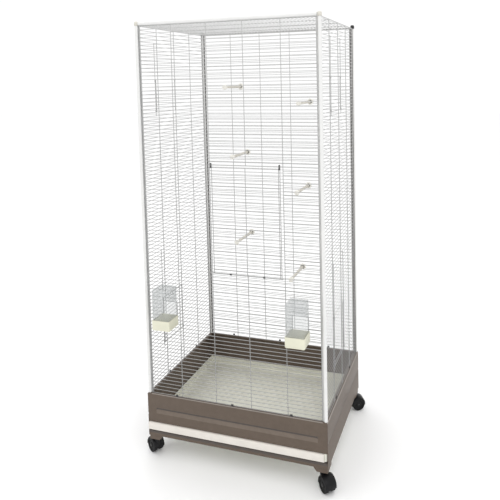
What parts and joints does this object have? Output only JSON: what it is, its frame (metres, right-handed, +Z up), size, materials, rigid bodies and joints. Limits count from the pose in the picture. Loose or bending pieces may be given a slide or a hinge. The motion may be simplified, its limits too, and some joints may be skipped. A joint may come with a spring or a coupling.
{
  "type": "bird_cage",
  "caption": "Tall indoor bird flight cage of white wire on a taupe tray base with castors, drop-down front door, sliding side doors, clear-hooded feeders and perches",
  "frame": {"origin": "on the floor, below the middle of the whole object's bounding box", "axes": "+Z up, -Y towards the front (the side with the feeders and the drop-down door), +X to the right as seen from the front"},
  "size_m": [0.7214, 0.5784, 1.536],
  "materials": {
    "white_wire": "glossy powder-coated wire",
    "white_enamel": "glossy powder-coated tube",
    "pale_cap": "off-white moulded plastic",
    "dark_cap": "black moulded plastic",
    "rod_steel": "dull steel rod",
    "taupe_enamel": "satin taupe enamel on folded sheet",
    "tray_plastic": "satin cream plastic",
    "axle_steel": "plain steel pin",
    "castor_plastic": "satin black moulded plastic",
    "wheel_plastic": "black moulded wheel",
    "cup_plastic": "satin cream plastic",
    "clear_plastic": "clear moulded plastic",
    "perch_plastic": "satin cream plastic, fine ridges",
    "bolt_plastic": "cream plastic nut",
    "dark_steel": "dark small fittings"
  },
  "bodies": {
    "cage": {"base_front": "taupe_enamel", "base_left": "taupe_enamel", "base_rear": "taupe_enamel", "base_right": "taupe_enamel", "caps_front": "pale_cap", "caps_rear": "dark_cap", "door_guides": "white_wire", "foot_front_left": "taupe_enamel", "foot_front_right": "taupe_enamel", "foot_rear_left": "taupe_enamel", "foot_rear_right": "taupe_enamel", "hinge_loops": "white_wire", "joining_rods": "rod_steel", "lower_rail": "taupe_enamel", "perch_1": "perch_plastic", "perch_2": "perch_plastic", "perch_3": "perch_plastic", "perch_4": "perch_plastic", "perch_5": "perch_plastic", "perch_6": "perch_plastic", "perch_bolts": "bolt_plastic", "post_front_left": "white_enamel", "post_front_right": "white_enamel", "post_rear_left": "white_enamel", "post_rear_right": "white_enamel", "rim_clips": "dark_steel", "runner_left": "taupe_enamel", "runner_right": "taupe_enamel", "top_rail": "white_enamel", "wire_front": "white_wire", "wire_left": "white_wire", "wire_rear": "white_wire", "wire_right": "white_wire", "wire_roof": "white_wire"},
    "tray": {"tray": "tray_plastic"},
    "front_door": {"front_door": "white_wire", "latch_pins": "dark_steel"},
    "latch_left": {"latch_left": "dark_steel"},
    "latch_right": {"latch_right": "dark_steel"},
    "door_upper_left": {"door_upper_left": "white_wire"},
    "door_lower_left": {"door_lower_left": "white_wire"},
    "door_upper_right": {"door_upper_right": "white_wire"},
    "door_lower_right": {"door_lower_right": "white_wire"},
    "cup_left": {"feed_cup_left": "cup_plastic"},
    "hopper_left": {"feed_hopper_left": "clear_plastic"},
    "cup_right": {"feed_cup_right": "cup_plastic"},
    "hopper_right": {"feed_hopper_right": "clear_plastic"},
    "castor_front_left": {"castor_hood_front_left": "castor_plastic", "castor_axle_front_left": "axle_steel"},
    "wheels_front_left": {"castor_wheels_front_left": "wheel_plastic"},
    "castor_front_right": {"castor_hood_front_right": "castor_plastic", "castor_axle_front_right": "axle_steel"},
    "wheels_front_right": {"castor_wheels_front_right": "wheel_plastic"},
    "castor_rear_left": {"castor_hood_rear_left": "castor_plastic", "castor_axle_rear_left": "axle_steel"},
    "wheels_rear_left": {"castor_wheels_rear_left": "wheel_plastic"},
    "castor_rear_right": {"castor_hood_rear_right": "castor_plastic", "castor_axle_rear_right": "axle_steel"},
    "wheels_rear_right": {"castor_wheels_rear_right": "wheel_plastic"}
  },
  "joints": [
    {"name": "tray_slide", "type": "slide", "parent": "cage", "child": "tray", "axis": [0, -1, 0], "range_m": [0, 0.4]},
    {"name": "door_hinge", "type": "hinge", "parent": "cage", "child": "front_door", "pos_m": [0.0644, -0.22868, 0.689], "axis": [1, 0, 0], "range_deg": [0, 170]},
    {"name": "latch_turn_left", "type": "hinge", "parent": "front_door", "child": "latch_left", "pos_m": [-0.0554, -0.23318, 1.047], "axis": [0, 1, 0], "range_deg": [-90, 90]},
    {"name": "latch_turn_right", "type": "hinge", "parent": "front_door", "child": "latch_right", "pos_m": [0.1842, -0.23318, 1.047], "axis": [0, 1, 0], "range_deg": [-90, 90]},
    {"name": "slide_upper_left", "type": "slide", "parent": "cage", "child": "door_upper_left", "axis": [0, 0, 1], "range_m": [0, 0.117]},
    {"name": "slide_lower_left", "type": "slide", "parent": "cage", "child": "door_lower_left", "axis": [0, 0, 1], "range_m": [0, 0.169]},
    {"name": "slide_upper_right", "type": "slide", "parent": "cage", "child": "door_upper_right", "axis": [0, 0, 1], "range_m": [0, 0.117]},
    {"name": "slide_lower_right", "type": "slide", "parent": "cage", "child": "door_lower_right", "axis": [0, 0, 1], "range_m": [0, 0.169]},
    {"name": "cup_off_left", "type": "slide", "parent": "cage", "child": "cup_left", "axis": [0, -1, 0], "range_m": [0, 0.12]},
    {"name": "hopper_off_left", "type": "slide", "parent": "cup_left", "child": "hopper_left", "axis": [0, 0, 1], "range_m": [0, 0.15]},
    {"name": "cup_off_right", "type": "slide", "parent": "cage", "child": "cup_right", "axis": [0, -1, 0], "range_m": [0, 0.12]},
    {"name": "hopper_off_right", "type": "slide", "parent": "cup_right", "child": "hopper_right", "axis": [0, 0, 1], "range_m": [0, 0.15]},
    {"name": "castor_swivel_front_left", "type": "hinge", "parent": "cage", "child": "castor_front_left", "pos_m": [-0.307, -0.20768, 0.062], "axis": [0, 0, 1], "continuous": true},
    {"name": "wheel_spin_front_left", "type": "hinge", "parent": "castor_front_left", "child": "wheels_front_left", "pos_m": [-0.32605, -0.19668, 0.025], "axis": [-0.5, -0.866, 0], "continuous": true},
    {"name": "castor_swivel_front_right", "type": "hinge", "parent": "cage", "child": "castor_front_right", "pos_m": [0.307, -0.20768, 0.062], "axis": [0, 0, 1], "continuous": true},
    {"name": "wheel_spin_front_right", "type": "hinge", "parent": "castor_front_right", "child": "wheels_front_right", "pos_m": [0.32256, -0.22323, 0.025], "axis": [0.7071, 0.7071, 0], "continuous": true},
    {"name": "castor_swivel_rear_left", "type": "hinge", "parent": "cage", "child": "castor_rear_left", "pos_m": [-0.307, 0.23932, 0.062], "axis": [0, 0, 1], "continuous": true},
    {"name": "wheel_spin_rear_left", "type": "hinge", "parent": "castor_rear_left", "child": "wheels_rear_left", "pos_m": [-0.32256, 0.25488, 0.025], "axis": [-0.7071, -0.7071, 0], "continuous": true},
    {"name": "castor_swivel_rear_right", "type": "hinge", "parent": "cage", "child": "castor_rear_right", "pos_m": [0.307, 0.23932, 0.062], "axis": [0, 0, 1], "continuous": true},
    {"name": "wheel_spin_rear_right", "type": "hinge", "parent": "castor_rear_right", "child": "wheels_rear_right", "pos_m": [0.32605, 0.25032, 0.025], "axis": [-0.5, 0.866, 0], "continuous": true}
  ]
}
